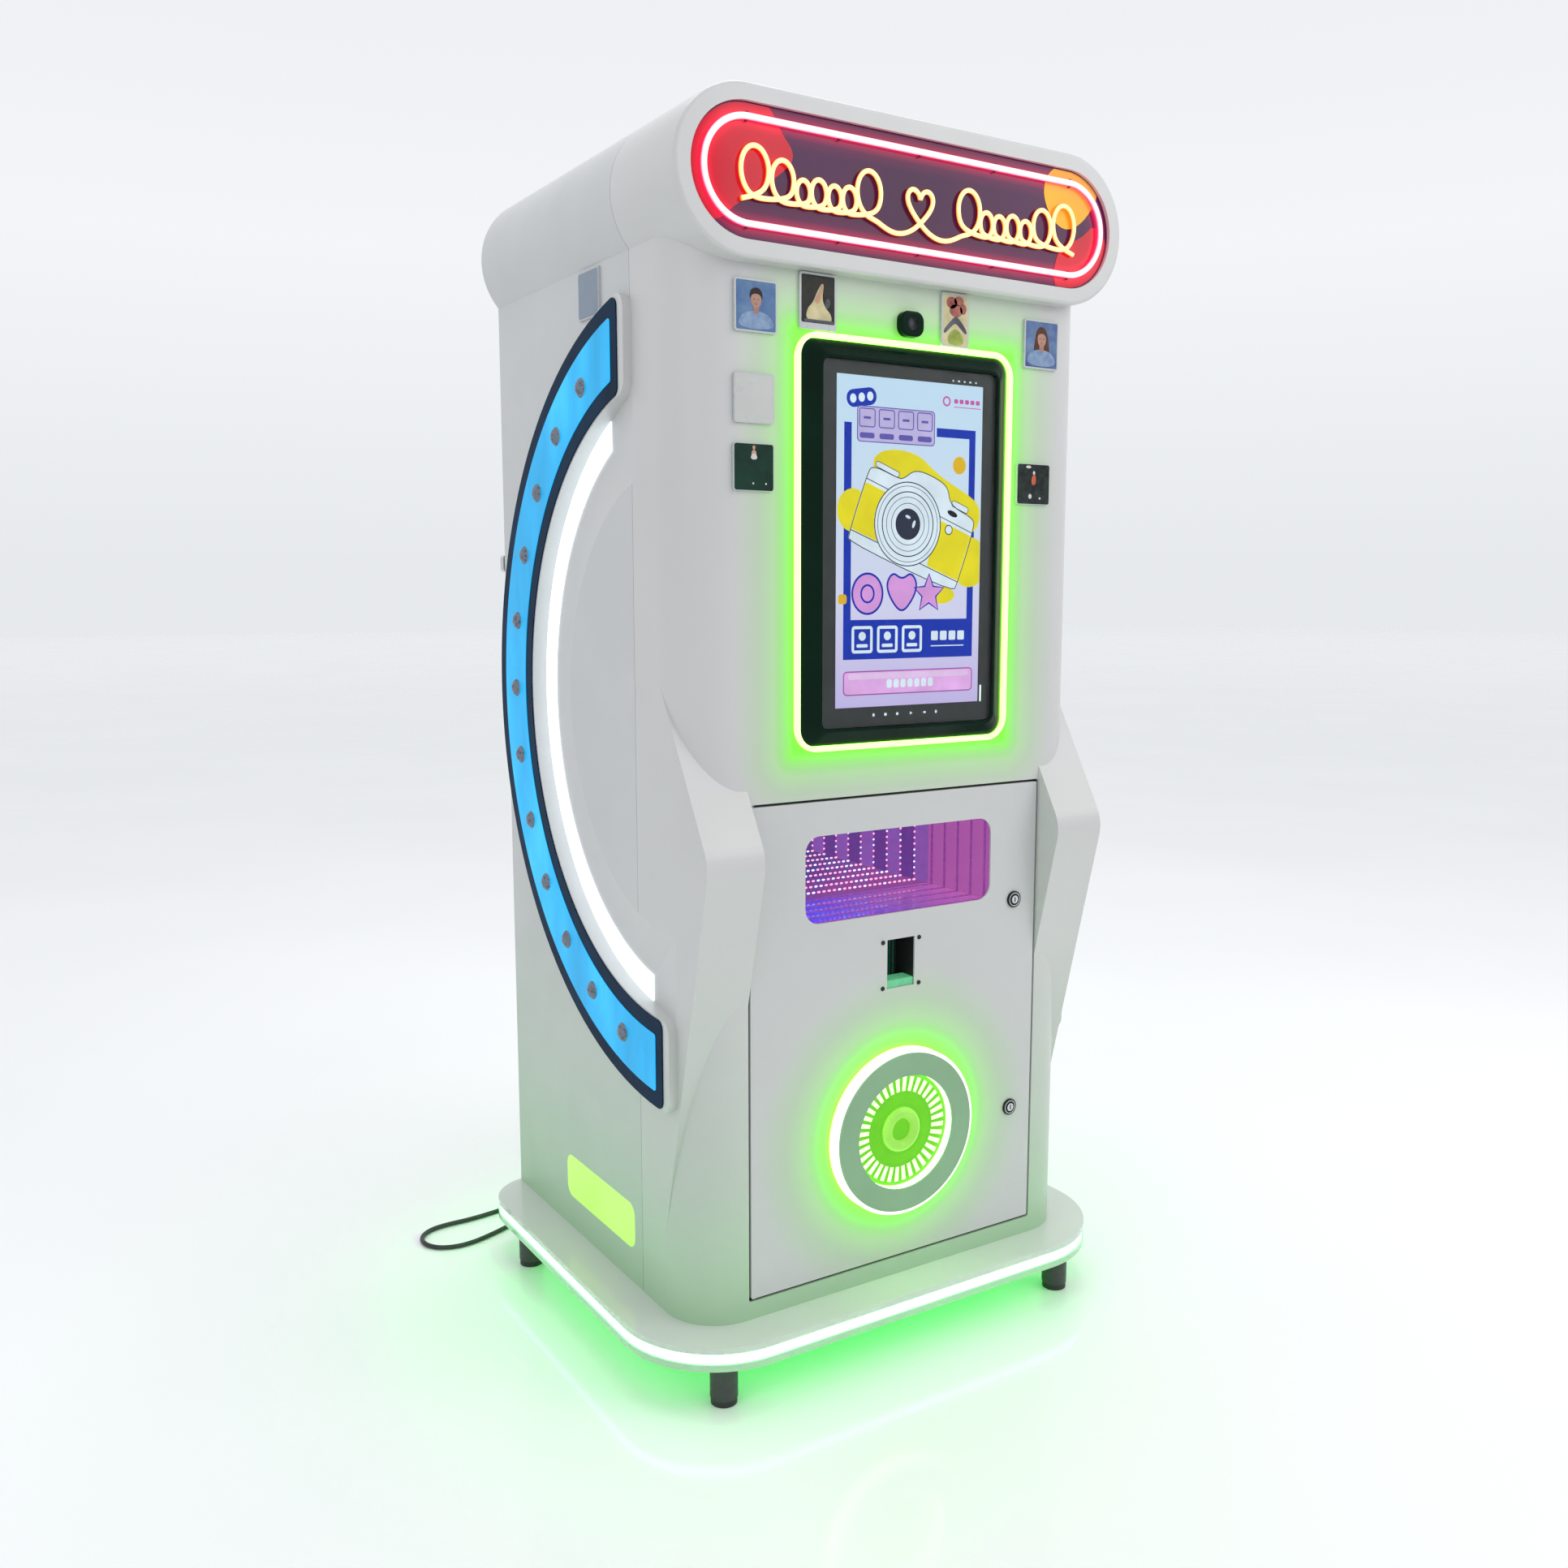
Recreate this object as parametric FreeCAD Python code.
"""Free-standing photo magnet kiosk, in millimetres.

The origin is at the middle of the footprint, on the floor. +X is to the customer's right, +Y points from
the front to the back and +Z is up. Every sub-part is one STEP file in parts/.
"""
import FreeCAD, Part
import math
import os

V = FreeCAD.Vector

# ---- driving dimensions ----
HALF_DEPTH = 378.0          # half of the footprint from the base's front edge to the rear handle
FLOOR_GAP = 69.0            # floor to the underside of the base
BASE_TOP = 106.0            # floor to the top of the base
BASE_HALF_WIDTH = 440.0
BASE_REAR = 362.0
BASE_FRONT_RADIUS = 163.0
BASE_REAR_RADIUS = 82.0
BODY_HALF_WIDTH = 372.0
BODY_FRONT = -312.0
BODY_REAR = 356.0
BODY_CORNER_RADIUS = 88.0
SHELL_WALL = 4.0            # moulded front
STEEL_WALL = 3.0            # rear cabinet
SEAM_Y = -147.0             # where the moulded front meets the rear cabinet
SEAM_HALF_GAP = 0.5
MARQUEE_Z = 1747.0          # height of the marquee's axis
MARQUEE_RADIUS = 112.0
MARQUEE_HALF_WIDTH = 400.0
MARQUEE_FRONT = -338.0
PANEL_HALF_WIDTH = 376.0
PANEL_RADIUS = 88.0
SCREEN_Z = 1257.0           # height of the middle of the screen surround
LIGHT_FRAME_SIZE = (399.0, 595.0)
LIGHT_FRAME_WIDTH = 8.0
GLASS_SIZE = (329.0, 536.0)
DISPLAY_SIZE = (268.0, 477.0)
DISPLAY_Z = 1261.0
GLASS_PROUD = 16.0
DOOR_HALF_WIDTH = 274.0
DOOR_Z = (138.0, 884.5)
DOOR_GAP = 4.0
DOOR_DEPTH = 20.0
SHEET = 3.0                 # door skins and flanges
PIVOT_INSET = 8.0           # door pivots, from the door's edge and from its outer face
PIVOT_RADIUS = 3.0
RUNNING_GAP = 0.05
WINDOW = (178.5, 700.0, 833.0)          # half width, bottom, top
SLOT = (26.5, 580.0, 658.0)
BIN_DEPTH = 165.0
LOCK_X = 229.0
LOCK_Z = {"upper": 693.0, "lower": 339.0}
RING_Z = 349.0
RING_RADII = (134.0, 128.0, 92.0)       # diffuser, face plate, hole
ARC_CENTRE = (-249.0, 1030.0)           # y, z of the side arcs' common centre
ARC_TOP_Y = -152.0                      # the arcs' upper and lower ends are cut off at these planes
ARC_BOTTOM_Y = -268.0
ARC_OUTER = 597.0
ARC_INNER = 333.0
ARC_STEP = 456.0                        # inner edge of the raised housing
ARC_SEAT = 461.0                        # outer edge of the hole in the side wall behind the light
ARC_LIGHT = (416.0, 456.0)
ARC_STUDS = 12
REAR_DOOR_HALF_WIDTH = 352.0
REAR_DOOR_Z = (150.0, 1612.0)
FEET = {
    "foot_front_left": (-330.0, -325.0),
    "foot_front_right": (330.0, -325.0),
    "foot_rear_left": (-402.0, 240.0),
    "foot_rear_right": (402.0, 240.0),
}
FOOT_RADIUS = 21.0
CORD_DIAMETER = 8.0
CORD_TOTAL_LENGTH = 3000.0

os.makedirs("parts", exist_ok=True)


# ---- helpers ----
def save(name, shape):
    shape.exportStep("parts/" + name + ".step")
    print(name, "volume", round(shape.Volume / 1000.0, 1), "cm3, valid", shape.isValid())


def box(x0, x1, y0, y1, z0, z1):
    return Part.makeBox(x1 - x0, y1 - y0, z1 - z0, V(x0, y0, z0))


def rod(start, direction, length, radius):
    return Part.makeCylinder(radius, length, V(*start), V(*direction))


def both_sides(shape):
    """The shape and its mirror image across the middle of the kiosk."""
    return Part.makeCompound([shape, shape.mirror(V(0, 0, 0), V(1, 0, 0))])


PLANES = {
    "XY": (lambda u, v, w: V(u, v, w), V(0, 0, 1)),
    "XZ": (lambda u, v, w: V(u, w, v), V(0, 1, 0)),
    "YZ": (lambda u, v, w: V(w, u, v), V(1, 0, 0)),
}


def outline(points, radii, plane, level):
    """A closed wire through the points, with each corner rounded to its own radius."""
    place = PLANES[plane][0]
    count = len(points)
    stations = []
    for i, (point, radius) in enumerate(zip(points, radii)):
        p = V(point[0], point[1], 0)
        before = (V(*points[i - 1], 0) - p).normalize()
        after = (V(*points[(i + 1) % count], 0) - p).normalize()
        if radius <= 0:
            stations.append((p, None, p))
            continue
        half = before.getAngle(after) / 2
        setback = radius / math.tan(half)
        middle = p + (before + after).normalize() * (radius / math.sin(half) - radius)
        stations.append((p + before * setback, middle, p + after * setback))
    lift = lambda q: place(q.x, q.y, level)
    edges = []
    for i, (start, middle, end) in enumerate(stations):
        if middle is not None:
            edges.append(Part.Arc(lift(start), lift(middle), lift(end)).toShape())
        following = stations[(i + 1) % count][0]
        if end.distanceToPoint(following) > 1e-4:
            edges.append(Part.LineSegment(lift(end), lift(following)).toShape())
    return Part.Wire(edges)


def prism(points, radii, plane, low, high):
    if not isinstance(radii, (list, tuple)):
        radii = [radii] * len(points)
    face = Part.Face(outline(points, radii, plane, low))
    return face.extrude(PLANES[plane][1] * (high - low))


def rectangle(u0, u1, v0, v1):
    return [(u0, v0), (u1, v0), (u1, v1), (u0, v1)]


def front_plate(half_width, z0, z1, radius, y0, y1):
    return prism(rectangle(-half_width, half_width, z0, z1), radius, "XZ", y0, y1)


def stadium(half_width, radius, z, y0, y1):
    return front_plate(half_width, z - radius, z + radius, radius - 0.001, y0, y1)


def tube_along(chains, radius):
    """A round bar along each chain of edges, with a ball at the chain's two ends."""
    solids = []
    for chain in chains:
        start = chain[0].valueAt(chain[0].FirstParameter)
        end = chain[-1].valueAt(chain[-1].LastParameter)
        tangent = chain[0].tangentAt(chain[0].FirstParameter)
        ring = Part.Wire([Part.Circle(start, tangent, radius).toShape()])
        solids.append(Part.Wire(chain).makePipeShell([ring], True, False))
        solids.append(Part.makeSphere(radius, start))
        solids.append(Part.makeSphere(radius, end))
    return solids[0].multiFuse(solids[1:]).removeSplitter()


# ---- base ----
def base_plate(inset, z0, z1):
    x = BASE_HALF_WIDTH - inset
    front, rear = -HALF_DEPTH + inset, BASE_REAR - inset
    points = [(-x, front), (x, front), (x, rear), (-x, rear)]
    front_radius = BASE_FRONT_RADIUS - inset
    rear_radius = BASE_REAR_RADIUS - inset
    return prism(points, [front_radius, front_radius, rear_radius, rear_radius], "XY", z0, z1)


def make_base():
    lip_top = FLOOR_GAP + 11
    light_top = BASE_TOP - 10
    save("base_top_plate", base_plate(0, light_top, BASE_TOP))
    save("base_light", base_plate(2.5, lip_top, light_top).cut(base_plate(20, lip_top, light_top)))
    tray = base_plate(0, FLOOR_GAP, lip_top).cut(base_plate(14, FLOOR_GAP + 4, lip_top))
    for x, y in FEET.values():
        tray = tray.cut(rod((x, y, FLOOR_GAP), (0, 0, 1), 12, 6 + RUNNING_GAP))
    save("base_tray", tray)
    frame = box(-300, 300, -260, 320, FLOOR_GAP + 4, light_top).cut(box(-262, 262, -222, 282, 0, 200))
    for x in (-262, 222):
        frame = frame.fuse(box(x, x + 40, -222, 282, FLOOR_GAP + 4, FLOOR_GAP + 10))
    save("base_frame", frame.removeSplitter())


def make_feet():
    for name, (x, y) in FEET.items():
        pad = rod((x, y, 0), (0, 0, 1), 9, FOOT_RADIUS - 1)
        body = rod((x, y, 9), (0, 0, 1), FLOOR_GAP - 9 - 0.5, FOOT_RADIUS)
        body = body.makeFillet(1.5, [body.Edges[0], body.Edges[2]])
        stem = rod((x, y, FLOOR_GAP - 1), (0, 0, 1), 5, 6)
        save(name, pad.fuse(body).fuse(stem).removeSplitter())


# ---- shells ----
FIN_APEX = (-365.0, 817.0)
FIN_BACK_Y = BODY_FRONT + BODY_CORNER_RADIUS
FIN_TOP = (FIN_BACK_Y, 1063.0)
FIN_BOTTOM = (FIN_BACK_Y, 225.0)
FIN_RADIUS = 60.0
FIN_INNER_X = DOOR_HALF_WIDTH + DOOR_GAP


def fin(wall):
    """The wedge that stands out in front of the rounded corner, or its hollow when wall is not zero."""
    slope_up = math.atan2(FIN_TOP[1] - FIN_APEX[1], FIN_TOP[0] - FIN_APEX[0])
    slope_down = math.atan2(FIN_APEX[1] - FIN_BOTTOM[1], FIN_BOTTOM[0] - FIN_APEX[0])
    top = (FIN_BACK_Y, FIN_TOP[1] - wall / math.cos(slope_up))
    bottom = (FIN_BACK_Y, FIN_BOTTOM[1] + wall / math.cos(slope_down))
    half = (math.pi - slope_up - slope_down) / 2
    tilt = (slope_up - slope_down) / 2
    reach = wall / math.sin(math.pi / 2 - (math.pi - 2 * half) / 2)
    apex = (FIN_APEX[0] + reach * math.cos(tilt), FIN_APEX[1] + reach * math.sin(tilt))
    return prism([bottom, top, apex], [0, 0, FIN_RADIUS - wall], "YZ", FIN_INNER_X + wall, BODY_HALF_WIDTH - wall)


def body_block(wall, y0, y1):
    x = BODY_HALF_WIDTH - wall
    points = [(-x, y0), (x, y0), (x, y1), (-x, y1)]
    radius = BODY_CORNER_RADIUS - wall
    return prism(points, [radius, radius, 0, 0], "XY", BASE_TOP, MARQUEE_Z)


def arc_region(inner, outer, x0, x1, inset=0.0):
    """A ring sector on the right side, cut off by the two vertical end planes."""
    ring = Part.makeCylinder(outer, x1 - x0, V(x0, *ARC_CENTRE), V(1, 0, 0))
    ring = ring.cut(Part.makeCylinder(inner, x1 - x0, V(x0, *ARC_CENTRE), V(1, 0, 0)))
    reach = ARC_OUTER + 10
    upper = box(x0, x1, ARC_TOP_Y + inset, ARC_CENTRE[0] + reach, ARC_CENTRE[1], ARC_CENTRE[1] + reach)
    lower = box(x0, x1, ARC_BOTTOM_Y + inset, ARC_CENTRE[0] + reach, ARC_CENTRE[1] - reach, ARC_CENTRE[1])
    return ring.common(upper.fuse(lower).removeSplitter())


def rounded_ends(sector, radius):
    """The ring sector with its corners rounded, seen from the side."""
    straight = [e for e in sector.Edges if isinstance(e.Curve, Part.Line)]
    return sector.makeFillet(radius, [e for e in straight if abs(e.tangentAt(e.FirstParameter).x) > 0.99])


def side_window(x0, x1):
    return prism(rectangle(-120, 139, 162, 236), 20, "YZ", x0, x1)


def make_front_shell():
    outer = body_block(0, BODY_FRONT, SEAM_Y - SEAM_HALF_GAP).fuse(both_sides(fin(0)))
    inner = body_block(SHELL_WALL, BODY_FRONT + SHELL_WALL, SEAM_Y).fuse(both_sides(fin(SHELL_WALL)))
    shell = outer.removeSplitter().cut(inner)
    shell = shell.cut(stadium(MARQUEE_HALF_WIDTH, MARQUEE_RADIUS, MARQUEE_Z, -400, 400))
    door_hole = front_plate(FIN_INNER_X, DOOR_Z[0] - DOOR_GAP, DOOR_Z[1] + DOOR_GAP, 4, -330, -300)
    half = LIGHT_FRAME_SIZE[0] / 2 - LIGHT_FRAME_WIDTH
    rise = LIGHT_FRAME_SIZE[1] / 2 - LIGHT_FRAME_WIDTH
    screen_hole = front_plate(half, SCREEN_Z - rise, SCREEN_Z + rise, 26, -330, -300)
    shell = shell.cut(door_hole).cut(screen_hole)
    shell = shell.cut(both_sides(arc_region(ARC_INNER, ARC_SEAT, BODY_HALF_WIDTH - 6, BODY_HALF_WIDTH + 1)))
    save("front_shell", shell.removeSplitter())


def make_rear_shell():
    y0 = SEAM_Y + SEAM_HALF_GAP
    x = BODY_HALF_WIDTH
    shell = box(-x, x, y0, BODY_REAR, BASE_TOP, MARQUEE_Z)
    shell = shell.cut(box(-x + STEEL_WALL, x - STEEL_WALL, y0, BODY_REAR - STEEL_WALL, BASE_TOP, MARQUEE_Z))
    low = REAR_DOOR_Z[0] - DOOR_GAP
    high = REAR_DOOR_Z[1] + DOOR_GAP
    edge = REAR_DOOR_HALF_WIDTH + DOOR_GAP
    jamb = front_plate(edge + 3, low - 3, high + 3, 0, 330, BODY_REAR)
    stop = front_plate(edge + 3, low - 3, high + 3, 0, 326, 330).cut(front_plate(335, 170, 1592, 0, 320, 335))
    shell = shell.fuse(jamb).cut(front_plate(edge, low, high, 0, 330, BODY_REAR + 1)).fuse(stop)
    pivot_x = REAR_DOOR_HALF_WIDTH - PIVOT_INSET
    pivot_y = BODY_REAR - PIVOT_INSET
    for z in (low - 4, high - 1):
        shell = shell.cut(rod((pivot_x, pivot_y, z), (0, 0, 1), 5, PIVOT_RADIUS + RUNNING_GAP))
    shell = shell.cut(stadium(MARQUEE_HALF_WIDTH, MARQUEE_RADIUS, MARQUEE_Z, -400, 400))
    shell = shell.cut(both_sides(arc_region(ARC_INNER, ARC_SEAT, x - 6, x + 1)))
    shell = shell.cut(both_sides(side_window(x - 6, x + 1)))
    save("rear_shell", shell.removeSplitter())


def make_door_frame():
    low = DOOR_Z[0] - DOOR_GAP
    high = DOOR_Z[1] + DOOR_GAP
    y0 = BODY_FRONT + SHELL_WALL
    jamb = front_plate(FIN_INNER_X + SHEET, low - SHEET, high + SHEET, 0, y0, -286)
    flange = front_plate(300, 112, 912, 0, -286, -282).cut(front_plate(255, 158, 865, 0, -290, -280))
    frame = jamb.fuse(flange).cut(front_plate(FIN_INNER_X, low, high, 0, y0, -286))
    for z in (low - 4, high - 1):
        hole = rod((-DOOR_HALF_WIDTH + PIVOT_INSET, BODY_FRONT + PIVOT_INSET, z), (0, 0, 1), 5,
                   PIVOT_RADIUS + RUNNING_GAP)
        frame = frame.cut(hole)
    save("door_frame", frame.removeSplitter())


# ---- marquee ----
def make_marquee():
    seam = SEAM_Y
    front = stadium(MARQUEE_HALF_WIDTH, MARQUEE_RADIUS, MARQUEE_Z, MARQUEE_FRONT, seam - SEAM_HALF_GAP)
    edges = [e for e in front.Edges if abs(e.BoundBox.YMin - MARQUEE_FRONT) < 0.01 and e.BoundBox.YLength < 0.01]
    front = front.makeFillet(5, edges)
    wall = SHELL_WALL
    hollow = stadium(MARQUEE_HALF_WIDTH - wall, MARQUEE_RADIUS - wall, MARQUEE_Z, MARQUEE_FRONT + 6, seam)
    front = front.cut(hollow).cut(stadium(PANEL_HALF_WIDTH, PANEL_RADIUS, MARQUEE_Z, -350, -300))
    save("marquee_front", front)
    rear = stadium(MARQUEE_HALF_WIDTH, MARQUEE_RADIUS, MARQUEE_Z, seam + SEAM_HALF_GAP, BODY_REAR)
    hollow = stadium(MARQUEE_HALF_WIDTH - wall, MARQUEE_RADIUS - wall, MARQUEE_Z, seam, BODY_REAR - wall)
    save("marquee_rear", rear.cut(hollow))
    panel_front = MARQUEE_FRONT + 6
    save("marquee_panel", stadium(PANEL_HALF_WIDTH + 8, PANEL_RADIUS + 8, MARQUEE_Z, panel_front, panel_front + 4))


def make_neon():
    y = MARQUEE_FRONT + 1
    reach = PANEL_HALF_WIDTH - 20 - (PANEL_RADIUS - 20)
    radius = PANEL_RADIUS - 20
    z = MARQUEE_Z
    edges = [
        Part.LineSegment(V(-reach, y, z + radius), V(reach, y, z + radius)).toShape(),
        Part.Arc(V(reach, y, z + radius), V(reach + radius, y, z), V(reach, y, z - radius)).toShape(),
        Part.LineSegment(V(reach, y, z - radius), V(-reach, y, z - radius)).toShape(),
        Part.Arc(V(-reach, y, z - radius), V(-reach - radius, y, z), V(-reach, y, z + radius)).toShape(),
    ]
    save("neon_outline", tube_along([[edge] for edge in edges], 4.5))
    save("neon_flourish", tube_along(flourish_chains(), 3.5))


FLOURISH_BASE = -35.0       # lowest line of the flourish, from the marquee's axis
FLOURISH_START = 84.0       # where each swash ends and the waves start
WAVE_RADIUS = 12.3
WAVE_HEIGHTS = (34.0, 32.0, 34.0, 52.0, 62.0)       # straight runs of the waves, from the heart outwards


def flourish_chains():
    """A heart with a swash on each side that rolls on into a row of tall waves, as bent glass tube."""
    y = MARQUEE_FRONT + 1
    z = MARQUEE_Z + FLOURISH_BASE
    point = lambda u, v: V(u, y, z + v)
    arc = lambda a, b, c: Part.Arc(point(*a), point(*b), point(*c)).toShape()
    line = lambda a, b: Part.LineSegment(point(*a), point(*b)).toShape()
    foot = 12.0
    chains = []
    for side in (-1, 1):
        chains.append([arc((0, 5), (side * 25, 30), (side * 21, 47))])
        chains.append([arc((side * 21, 47), (side * 11, 54), (0, 40))])
        chains.append([arc((0, 5), (side * 42, -9), (side * FLOURISH_START, foot))])
        x = FLOURISH_START
        edges = []
        for k, height in enumerate(WAVE_HEIGHTS):
            far = x + 2 * WAVE_RADIUS
            edges.append(line((side * x, foot), (side * x, height)))
            crest = (side * (x + WAVE_RADIUS), height + WAVE_RADIUS)
            edges.append(arc((side * x, height), crest, (side * far, height)))
            edges.append(line((side * far, height), (side * far, foot)))
            x = far + 2 * WAVE_RADIUS
            if k + 1 < len(WAVE_HEIGHTS):
                trough = (side * (far + WAVE_RADIUS), foot - WAVE_RADIUS)
                edges.append(arc((side * far, foot), trough, (side * x, foot)))
        chains.append(edges)
    return chains


# ---- screen and camera ----
def make_screen():
    width, height = LIGHT_FRAME_SIZE
    half = width / 2
    rise = height / 2
    lit = front_plate(half, SCREEN_Z - rise, SCREEN_Z + rise, 38, BODY_FRONT - 6, BODY_FRONT)
    inner_half = half - LIGHT_FRAME_WIDTH
    inner_rise = rise - LIGHT_FRAME_WIDTH
    opening = front_plate(inner_half, SCREEN_Z - inner_rise, SCREEN_Z + inner_rise, 26, -330, -300)
    save("screen_light", lit.cut(opening))
    glass_half = GLASS_SIZE[0] / 2
    glass_rise = GLASS_SIZE[1] / 2
    glass_z = DISPLAY_Z - 5
    y_face = BODY_FRONT - GLASS_PROUD
    back = outline(rectangle(-inner_half, inner_half, SCREEN_Z - inner_rise, SCREEN_Z + inner_rise), [26] * 4,
                   "XZ", BODY_FRONT)
    front = outline(rectangle(-glass_half, glass_half, glass_z - glass_rise, glass_z + glass_rise), [16] * 4,
                    "XZ", y_face)
    bezel = Part.makeLoft([back, front], True, True)
    low, high = SCREEN_Z - inner_rise, SCREEN_Z + inner_rise
    bezel = bezel.fuse(front_plate(inner_half, low, high, 26, BODY_FRONT, -304))
    pocket = front_plate(glass_half - 4, glass_z - glass_rise + 4, glass_z + glass_rise - 4, 12, -340, -300)
    save("screen_bezel", bezel.cut(pocket).removeSplitter())
    glass = front_plate(glass_half - 4, glass_z - glass_rise + 4, glass_z + glass_rise - 4, 12, y_face, y_face + 2)
    save("screen_glass", glass)
    display_rise = DISPLAY_SIZE[1] / 2
    display = front_plate(DISPLAY_SIZE[0] / 2, DISPLAY_Z - display_rise, DISPLAY_Z + display_rise, 0,
                          y_face + 4, y_face + 6)
    save("display_panel", display)
    backing = front_plate(glass_half - 4.5, glass_z - glass_rise + 5, glass_z + glass_rise - 5, 10, y_face + 6, -304)
    save("display_module", backing)
    pod = front_plate(21, 1562, 1598, 14, BODY_FRONT - 12, BODY_FRONT)
    pod = pod.makeFillet(3, [e for e in pod.Edges if e.BoundBox.YMax < BODY_FRONT - 11])
    pod = pod.cut(rod((0, BODY_FRONT - 12, 1580), (0, 1, 0), 5, 9))
    save("camera_pod", pod)
    lens = rod((0, BODY_FRONT - 11, 1580), (0, 1, 0), 4, 8.9).cut(
        rod((0, BODY_FRONT - 11, 1580), (0, 1, 0), 2, 6))
    save("camera_lens", lens)


# ---- side arcs ----
RAISED = 14.0       # height of the arc housing over the side wall
RECESS = 12.0       # depth of the light seat under the side wall
RAMP = 93.0         # length of the ramp from each end of the light to the surface
HOUSING_CORNER = 22.0


def arc_recess():
    """The dished groove that holds the light, on the right side."""
    x = BODY_HALF_WIDTH
    section = [(ARC_INNER, x), (ARC_LIGHT[0], x - RECESS), (ARC_STEP, x - RECESS), (ARC_STEP, x + RAISED + 1),
               (ARC_INNER, x + RAISED + 1)]
    points = [V(px, ARC_CENTRE[0] + radius, ARC_CENTRE[1]) for radius, px in section]
    ring = Part.Face(Part.makePolygon(points + points[:1])).revolve(V(0, *ARC_CENTRE), V(1, 0, 0), 360)
    far = ARC_CENTRE[0] + ARC_OUTER
    keep = []
    for start, z0, z1 in ((ARC_TOP_Y, ARC_CENTRE[1], ARC_CENTRE[1] + ARC_OUTER),
                          (ARC_BOTTOM_Y, ARC_CENTRE[1] - ARC_OUTER, ARC_CENTRE[1])):
        ends = [(x + RAISED + 1, start - 1), (x, start), (x - RECESS, start + RAMP), (x - RECESS, far),
                (x + RAISED + 1, far)]
        keep.append(prism(ends, 0, "XY", z0, z1))
    return ring.common(keep[0].fuse(keep[1]).removeSplitter())


def make_side_arcs():
    x = BODY_HALF_WIDTH
    seat = arc_region(ARC_INNER, ARC_SEAT, x - RECESS - SHELL_WALL, x)
    raised = rounded_ends(arc_region(ARC_STEP, ARC_OUTER, x, x + RAISED), HOUSING_CORNER)
    hollow = arc_region(ARC_SEAT, ARC_OUTER - SHELL_WALL, x, x + RAISED - SHELL_WALL, SHELL_WALL)
    hollow = rounded_ends(hollow, HOUSING_CORNER)
    housing = seat.fuse(raised).cut(hollow).cut(arc_recess())
    save("arc_housings", both_sides(housing.removeSplitter()))
    top = x + RAISED
    save("arc_trims", both_sides(rounded_ends(arc_region(459, 594, top, top + 2, 18), 14)))
    save("arc_panels", both_sides(rounded_ends(arc_region(483, 570, top + 2, top + 3, 38), 5)))
    studs = []
    stud_radius = 15.0
    stud_height = 8.0
    ball = (stud_radius ** 2 + stud_height ** 2) / (2 * stud_height)
    for k in range(ARC_STUDS):
        angle = math.radians(63.1 - 12.65 * k)
        y = ARC_CENTRE[0] + 523 * math.cos(angle)
        z = ARC_CENTRE[1] + 523 * math.sin(angle)
        sphere = Part.makeSphere(ball, V(top + 3 + stud_height - ball, y, z))
        studs.append(sphere.common(box(top + 3, top + 20, y - 30, y + 30, z - 30, z + 30)))
    save("arc_studs", both_sides(Part.makeCompound(studs)))
    light = arc_region(ARC_LIGHT[0] + 1, ARC_LIGHT[1], x - RECESS, x - RECESS + 2, RAMP + 1)
    save("arc_lights", both_sides(light))
    save("side_windows", both_sides(side_window(x - 4, x)))


# ---- service door and what it carries ----
def make_service_door():
    face = BODY_FRONT
    low, high = DOOR_Z
    width = DOOR_HALF_WIDTH
    door = front_plate(width, low, high, 3, face, face + DOOR_DEPTH)
    door = door.cut(front_plate(width - SHEET, low + SHEET, high - SHEET, 0, face + SHEET, face + DOOR_DEPTH))
    pivot_x = -width + PIVOT_INSET
    pivot_y = face + PIVOT_INSET
    for block_z, pin_z in ((high - 23, high - 20), (low + 3, low - DOOR_GAP - 2.5)):
        block = box(-width + 3, -width + 18, face + 3, face + 16, block_z, block_z + 20)
        pin = rod((pivot_x, pivot_y, pin_z), (0, 0, 1), 26.5, PIVOT_RADIUS)
        door = door.fuse(block).fuse(pin)
    door = door.cut(front_plate(*WINDOW, 25, face - 1, face + 5))
    door = door.cut(front_plate(*SLOT, 0, face - 1, face + 5))
    for x in (-35, 35):
        for z in (582, 655):
            door = door.cut(rod((x, face - 1, z), (0, 1, 0), 5, 2.5))
    for z in LOCK_Z.values():
        door = door.cut(rod((LOCK_X, face - 1, z), (0, 1, 0), 5, 10))
    save("service_door", door.removeSplitter())


def make_bin():
    y0 = BODY_FRONT + SHEET
    y1 = y0 + BIN_DEPTH
    half, low, high = WINDOW[0] + 3.5, WINDOW[1] - 4, WINDOW[2] + 4
    bin_box = front_plate(half + 4, low - 4, high + 4, 0, y0, y1 + 4).cut(front_plate(half, low, high, 0, y0, y1))
    bin_box = bin_box.cut(box(-45, 45, y1 - 46, y1 - 14, high - 1, high + 5))
    pivot = (BODY_FRONT + 5.5, high - 3)
    for x in (-half - 5, half - 1):
        bin_box = bin_box.cut(rod((x, *pivot), (1, 0, 0), 6, 1.5 + RUNNING_GAP))
    save("pickup_bin", bin_box)
    save("bin_mirror", front_plate(half - 0.5, low + 0.5, high - 0.5, 0, y1 - 2, y1))
    flap = front_plate(half - 1, low + 1.5, pivot[1] + 1.5, 0, pivot[0] - 1.5, pivot[0] + 1.5)
    for x in (-half - 3, half - 1.5):
        flap = flap.fuse(rod((x, *pivot), (1, 0, 0), 4.5, 1.5))
    save("pickup_flap", flap.removeSplitter())


def make_slot_housing():
    y0 = BODY_FRONT + SHEET
    half, low, high = SLOT
    housing = front_plate(half + 12, low - 10, high + 10, 0, y0, y0 + 50)
    housing = housing.cut(front_plate(half + 1, low - 1, high + 1, 0, y0, y0 + 47))
    for x in (-35, 35):
        for z in (582, 655):
            housing = housing.cut(rod((x, y0 - 1, z), (0, 1, 0), 9, 2))
    save("slot_housing", housing)


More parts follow.
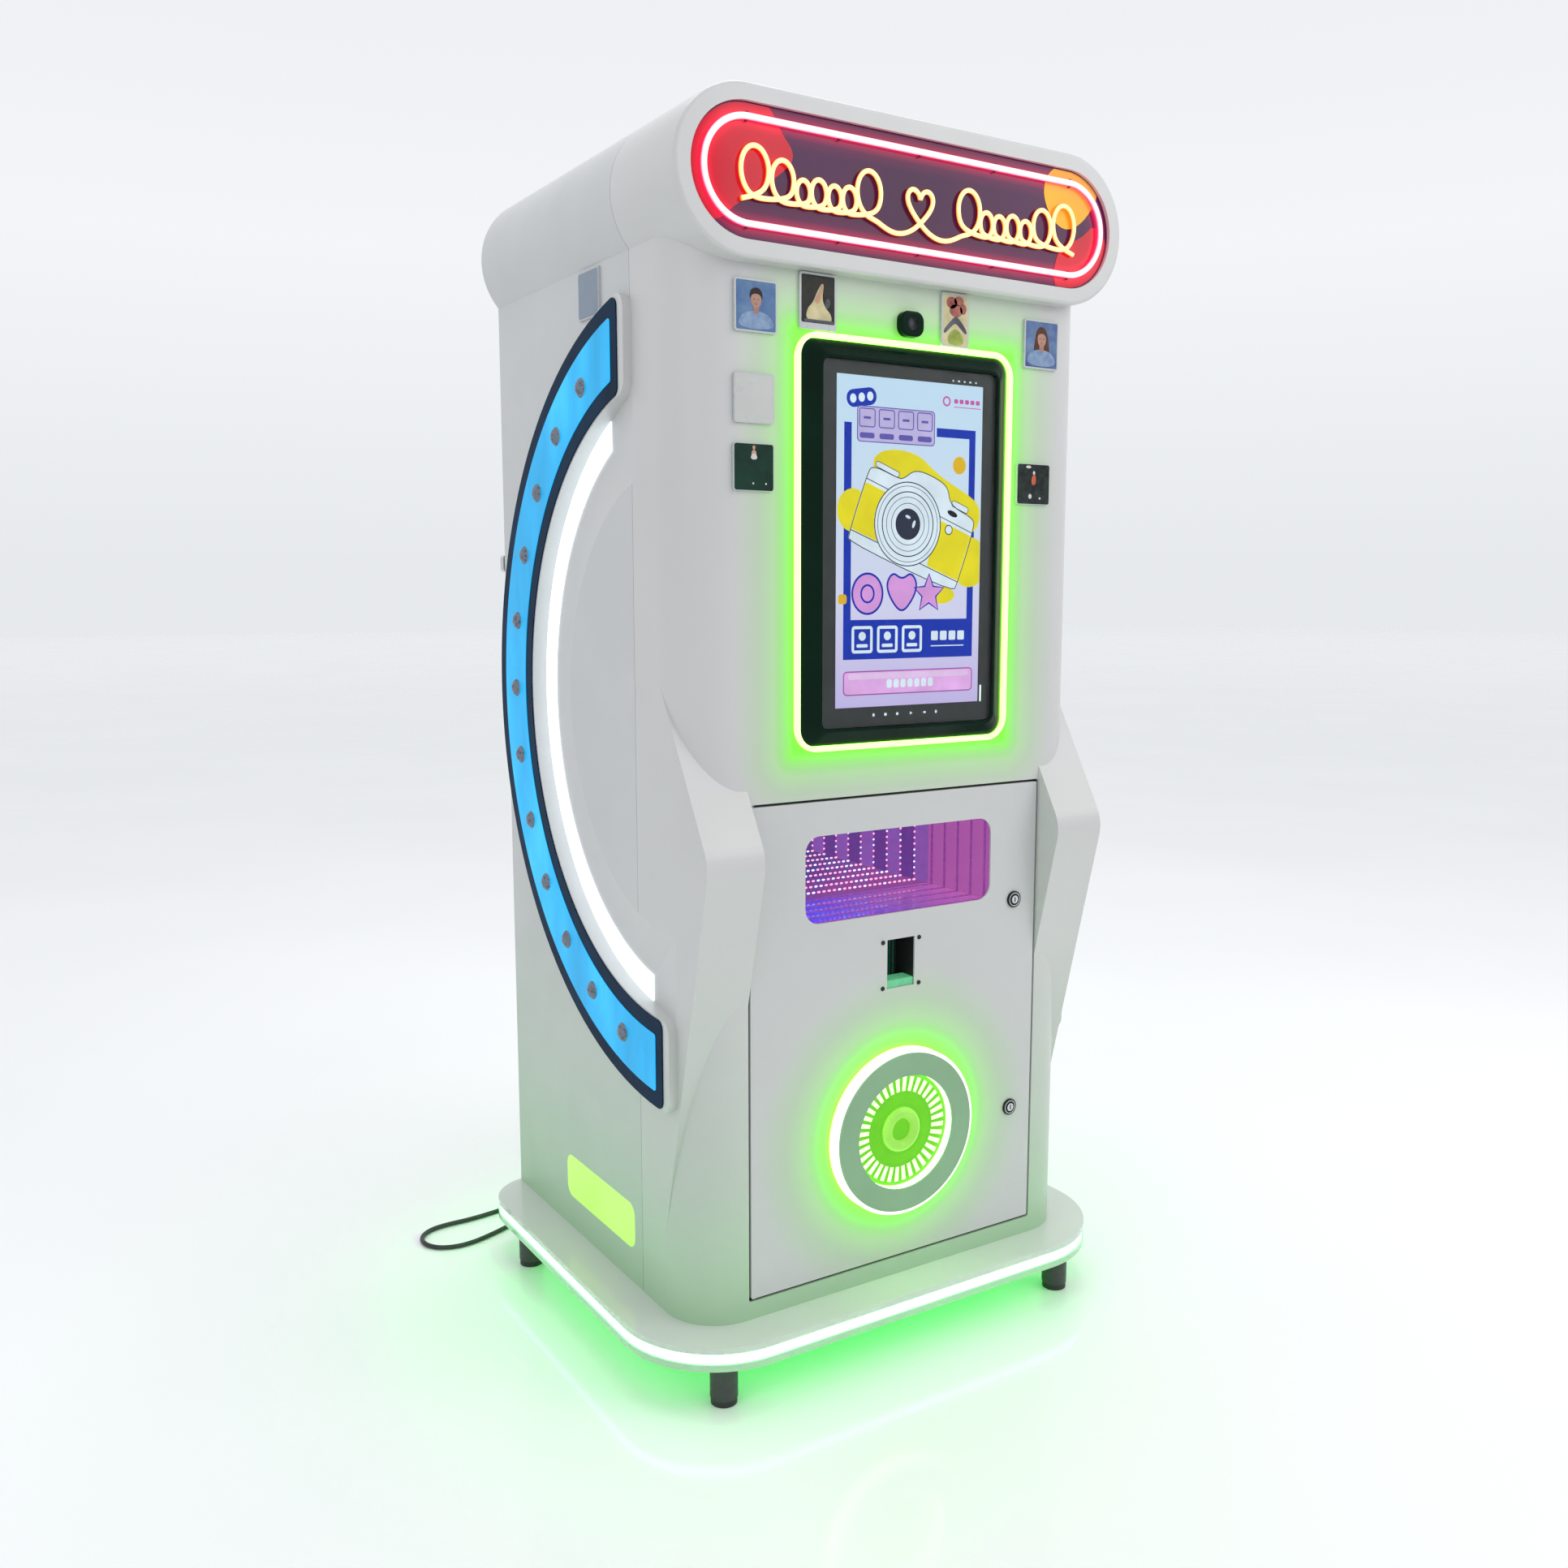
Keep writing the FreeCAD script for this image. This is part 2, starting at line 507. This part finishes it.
def make_ring_light():
    outer, plate, hole = RING_RADII
    y = BODY_FRONT
    diffuser = rod((0, y - 17.5, RING_Z), (0, 1, 0), 17.5, outer)
    diffuser = diffuser.cut(rod((0, y - 18, RING_Z), (0, 1, 0), 19, hole))
    save("ring_diffuser", diffuser)
    face = rod((0, y - 20.5, RING_Z), (0, 1, 0), 3, plate).cut(rod((0, y - 21, RING_Z), (0, 1, 0), 4, hole))
    save("ring_plate", face)
    disc = rod((0, y - 4, RING_Z), (0, 1, 0), 4, hole - 0.2)
    boss = Part.makeTorus(27, 9, V(0, y - 4, RING_Z), V(0, 1, 0))
    boss = boss.common(box(-50, 50, y - 20, y - 4, RING_Z - 50, RING_Z + 50))
    save("ring_disc", disc)
    save("ring_boss", boss)


def make_locks():
    y = BODY_FRONT
    for name, z in LOCK_Z.items():
        body = rod((LOCK_X, y - 3, z), (0, 1, 0), 3, 13.5).fuse(rod((LOCK_X, y, z), (0, 1, 0), 24, 10))
        body = body.cut(rod((LOCK_X, y - 4, z), (0, 1, 0), 30, 6.5 + RUNNING_GAP))
        save(name + "_lock_body", body.removeSplitter())
        plug = rod((LOCK_X, y - 4.5, z), (0, 1, 0), 34, 6.5)
        plug = plug.cut(box(LOCK_X - 1, LOCK_X + 1, y - 5, y - 1, z - 4, z + 4))
        plug = plug.fuse(box(LOCK_X - 8, LOCK_X + 8, y + 30.5, y + 33, z - 8, z + 42))
        save(name + "_lock_plug", plug.removeSplitter())


# ---- rear door ----
FAN_Z = 1440.0


def make_rear_door():
    low, high = REAR_DOOR_Z
    width = REAR_DOOR_HALF_WIDTH
    door = front_plate(width, low, high, 3, BODY_REAR - DOOR_DEPTH, BODY_REAR)
    door = door.cut(front_plate(width - SHEET, low + SHEET, high - SHEET, 0, BODY_REAR - DOOR_DEPTH,
                                BODY_REAR - SHEET))
    pivot_x = width - PIVOT_INSET
    pivot_y = BODY_REAR - PIVOT_INSET
    for block_z, pin_z in ((high - 23, high - 20), (low + 3, low - DOOR_GAP - 2.5)):
        block = box(width - 18, width - 3, BODY_REAR - 16, BODY_REAR - 3, block_z, block_z + 20)
        door = door.fuse(block).fuse(rod((pivot_x, pivot_y, pin_z), (0, 0, 1), 26.5, PIVOT_RADIUS))
    door = door.cut(rod((0, BODY_REAR - 10, FAN_Z), (0, 1, 0), 12, 54))
    for side in (-1, 1):
        for k in range(9):
            z = 250 + 16 * k
            door = door.cut(box(side * 170 - 90, side * 170 + 90, BODY_REAR - 5, BODY_REAR + 1, z, z + 6))
    door = door.cut(rod((HANDLE_X, BODY_REAR - 10, HANDLE_Z), (0, 1, 0), 12, 7 + RUNNING_GAP))
    save("rear_door", door.removeSplitter())


HANDLE_X = -318.0
HANDLE_Z = 1241.0


def make_rear_handle():
    shaft = rod((HANDLE_X, BODY_REAR - 37, HANDLE_Z), (0, 1, 0), 45, 7)
    paddle = prism(rectangle(-BODY_HALF_WIDTH, HANDLE_X + 16, HANDLE_Z - 15, HANDLE_Z + 15), 7, "XZ",
                   BODY_REAR + 8, HALF_DEPTH)
    tongue = box(HANDLE_X - 8, HANDLE_X + 8, BODY_REAR - 37, BODY_REAR - 33, HANDLE_Z - 10, HANDLE_Z + 38)
    save("rear_handle", shaft.fuse(paddle).fuse(tongue).removeSplitter())


def make_fan():
    y1 = BODY_REAR - SHEET
    housing = front_plate(60, FAN_Z - 60, FAN_Z + 60, 6, y1 - 25, y1).cut(
        rod((0, y1 - 26, FAN_Z), (0, 1, 0), 27, 57))
    spider = [rod((0, y1 - 25, FAN_Z), (0, 1, 0), 4, 22)]
    for k in range(4):
        arm = box(-3, 3, y1 - 25, y1 - 21, FAN_Z + 18, FAN_Z + 59)
        spider.append(arm.rotate(V(0, 0, FAN_Z), V(0, 1, 0), 45 + 90 * k))
    hole = rod((0, y1 - 26, FAN_Z), (0, 1, 0), 8, 2 + RUNNING_GAP)
    save("fan_housing", housing.multiFuse(spider).cut(hole).removeSplitter())
    hub = rod((0, y1 - 20.5, FAN_Z), (0, 1, 0), 18, 20).fuse(rod((0, y1 - 25, FAN_Z), (0, 1, 0), 6, 2))
    blades = []
    for k in range(7):
        blade = box(-1.2, 1.2, y1 - 19, y1 - 5, FAN_Z + 17, FAN_Z + 54)
        blade.rotate(V(0, y1 - 12, FAN_Z), V(0, 0, 1), 40)
        blades.append(blade.rotate(V(0, 0, FAN_Z), V(0, 1, 0), k * 360 / 7))
    bore = rod((0, y1 - 20, FAN_Z), (0, 1, 0), 22, 55.5)
    sweep = bore.fuse(rod((0, y1 - 26, FAN_Z), (0, 1, 0), 8, 19))
    save("fan_rotor", hub.multiFuse(blades).common(sweep).removeSplitter())
    guard = []
    for radius in (15, 28, 41, 54):
        guard.append(Part.makeTorus(radius, 1.2, V(0, BODY_REAR + 3, FAN_Z), V(0, 1, 0)))
    for k in range(4):
        bar = rod((0, BODY_REAR + 1.2, FAN_Z), (0, 0, 1), 58, 1.2)
        guard.append(bar.rotate(V(0, 0, FAN_Z), V(0, 1, 0), 45 + 90 * k))
    for k in range(4):
        angle = math.radians(45 + 90 * k)
        guard.append(rod((58 * math.sin(angle), BODY_REAR, FAN_Z + 58 * math.cos(angle)), (0, 1, 0), 3, 3))
    save("fan_guard", guard[0].multiFuse(guard[1:]))


# ---- inner equipment ----
def make_inner_parts():
    rack = box(-352, 352, -120, 320, 940, 943)
    for x in (-352, 332):
        for y in (-120, 300):
            rack = rack.fuse(box(x, x + 20, y, y + 20, BASE_TOP, 940))
    save("printer_rack", rack.removeSplitter())
    printer = prism(rectangle(-210, 210, -110, 270), 18, "XY", 943, 1190)
    printer = printer.cut(prism(rectangle(-205, 205, -105, 265), 13, "XY", 948, 1185))
    printer = printer.cut(box(-80, 80, -111, -60, 985, 1035))
    save("photo_printer", printer)
    chute = box(-50, 50, -196, -120.5, 848, 938).cut(box(-47, 47, -193, -124, 848, 938))
    save("delivery_chute", chute)
    save("computer", prism(rectangle(-130, 130, 1230, 1420), 6, "XZ", -290, -225))
    save("computer_bracket", box(-145, 145, -304, -290, 1260, 1390))
    save("power_supply", prism(rectangle(-300, -120, 60, 280), 4, "XY", BASE_TOP, BASE_TOP + 85))


# ---- magnets ----
MAGNETS = (
    (-264, 1579, 68, 70), (-162, 1595, 62, 77), (85, 1594, 52, 78), (258, 1574, 70, 74),
    (-267, 1456, 64, 67), (-268, 1363, 65, 65), (248, 1360, 68, 63),
)
MAGNET_THICKNESS = 4.0
MAGNET_CORNER = 4.0


def make_magnets():
    cards = []
    for x, z, width, height in MAGNETS:
        points = rectangle(x - width / 2, x + width / 2, z - height / 2, z + height / 2)
        cards.append(prism(points, MAGNET_CORNER, "XZ", BODY_FRONT - MAGNET_THICKNESS, BODY_FRONT))
    x = BODY_HALF_WIDTH
    cards.append(prism(rectangle(-53, 19, 1598, 1668), MAGNET_CORNER, "YZ", -x - MAGNET_THICKNESS, -x))
    save("magnets", Part.makeCompound(cards))


# ---- mains lead ----
CORD_EXIT_Z = 76.0
COIL_CENTRE = (-110.0, 452.0)
COIL_MEAN_RADIUS = 44.0
RELIEF_LENGTH = 28.0        # strain reliefs at the gland and at the plug
PLUG_START = -56.0          # back of the plug's body, from the coil's middle
PLUG_LENGTH = 42.0
PLUG_Z = 12.0
CORD_ROUTE = (
    (-250, 400, 76), (-253, 426, 72), (-268, 446, 57), (-292, 450, 35), (-318, 438, 16), (-345, 418, 6),
    (-374, 399, 4), (-404, 384, 4), (-434, 373, 4), (-464, 364, 4), (-496, 362, 4), (-527, 374, 4),
    (-545, 402, 4), (-541, 435, 4), (-515, 456, 4), (-480, 460, 4), (-438, 458, 4), (-390, 463, 4),
    (-335, 472, 4), (-270, 484, 4), (-200, 498, 4), (-150, 504, 4), (-110, 504, 4),
)


def cord_wire(points):
    """Straight runs joined by the largest tangent arcs that the runs allow."""
    points = [V(*p) for p in points]
    edges = []
    radii = []
    last = points[0]
    for before, corner, after in zip(points, points[1:], points[2:]):
        back = (before - corner)
        ahead = (after - corner)
        shorter = min(back.Length, ahead.Length)
        back.normalize()
        ahead.normalize()
        turn = math.pi - back.getAngle(ahead)
        radius = 0.45 * shorter / math.tan(turn / 2)
        radii.append(round(radius, 1))
        start = corner + back * (0.45 * shorter)
        end = corner + ahead * (0.45 * shorter)
        middle = corner + (back + ahead).normalize() * (radius / math.cos(turn / 2) - radius)
        edges.append(Part.LineSegment(last, start).toShape())
        edges.append(Part.Arc(start, middle, end).toShape())
        last = end
    edges.append(Part.LineSegment(last, points[-1]).toShape())
    print("cord radii", radii)
    return Part.Wire(edges)


def make_cord():
    wire = cord_wire(CORD_ROUTE)
    start = V(*CORD_ROUTE[0])
    ring = Part.Wire([Part.Circle(start, V(*CORD_ROUTE[1]) - start, CORD_DIAMETER / 2).toShape()])
    tube = wire.makePipeShell([ring], True, False)
    section = math.pi * CORD_DIAMETER ** 2 / 4
    print("cord length", round(wire.Length), "volume / (section * length)", tube.Volume / (section * wire.Length))
    print("put away in the coil", round(CORD_TOTAL_LENGTH - wire.Length))
    save("mains_cord", tube)
    x, y = COIL_CENTRE
    half_band = 1.5 * CORD_DIAMETER
    coil = rod((x, y, 0), (0, 0, 1), 3 * CORD_DIAMETER, COIL_MEAN_RADIUS + half_band)
    save("cord_coil", coil.cut(rod((x, y, -1), (0, 0, 1), 40, COIL_MEAN_RADIUS - half_band)))
    exit_x, exit_y, _ = CORD_ROUTE[0]
    gland_length = exit_y - BASE_REAR - RELIEF_LENGTH
    gland = rod((exit_x, BASE_REAR, CORD_EXIT_Z), (0, 1, 0), gland_length, 9)
    relief = Part.makeCone(7.5, 5, RELIEF_LENGTH, V(exit_x, BASE_REAR + gland_length, CORD_EXIT_Z), V(0, 1, 0))
    save("cord_gland", gland.fuse(relief).removeSplitter())
    plug_y = y - COIL_MEAN_RADIUS - CORD_DIAMETER
    face_x = x + PLUG_START - PLUG_LENGTH
    plug = prism(rectangle(face_x, x + PLUG_START, plug_y - 17, plug_y + 17), 6, "XY", 0, 2 * PLUG_Z)
    plug = plug.fuse(rod((x + PLUG_START + RELIEF_LENGTH, plug_y, PLUG_Z), (-1, 0, 0), RELIEF_LENGTH, 6))
    for dy in (-9.5, 9.5):
        plug = plug.fuse(rod((face_x, plug_y + dy, PLUG_Z), (-1, 0, 0), 18, 2.4))
    save("cord_plug", plug.removeSplitter())


def main():
    make_base()
    make_feet()
    make_front_shell()
    make_rear_shell()
    make_door_frame()
    make_marquee()
    make_neon()
    make_screen()
    make_side_arcs()
    make_service_door()
    make_bin()
    make_slot_housing()
    make_ring_light()
    make_locks()
    make_rear_door()
    make_rear_handle()
    make_fan()
    make_inner_parts()
    make_magnets()
    make_cord()


main()
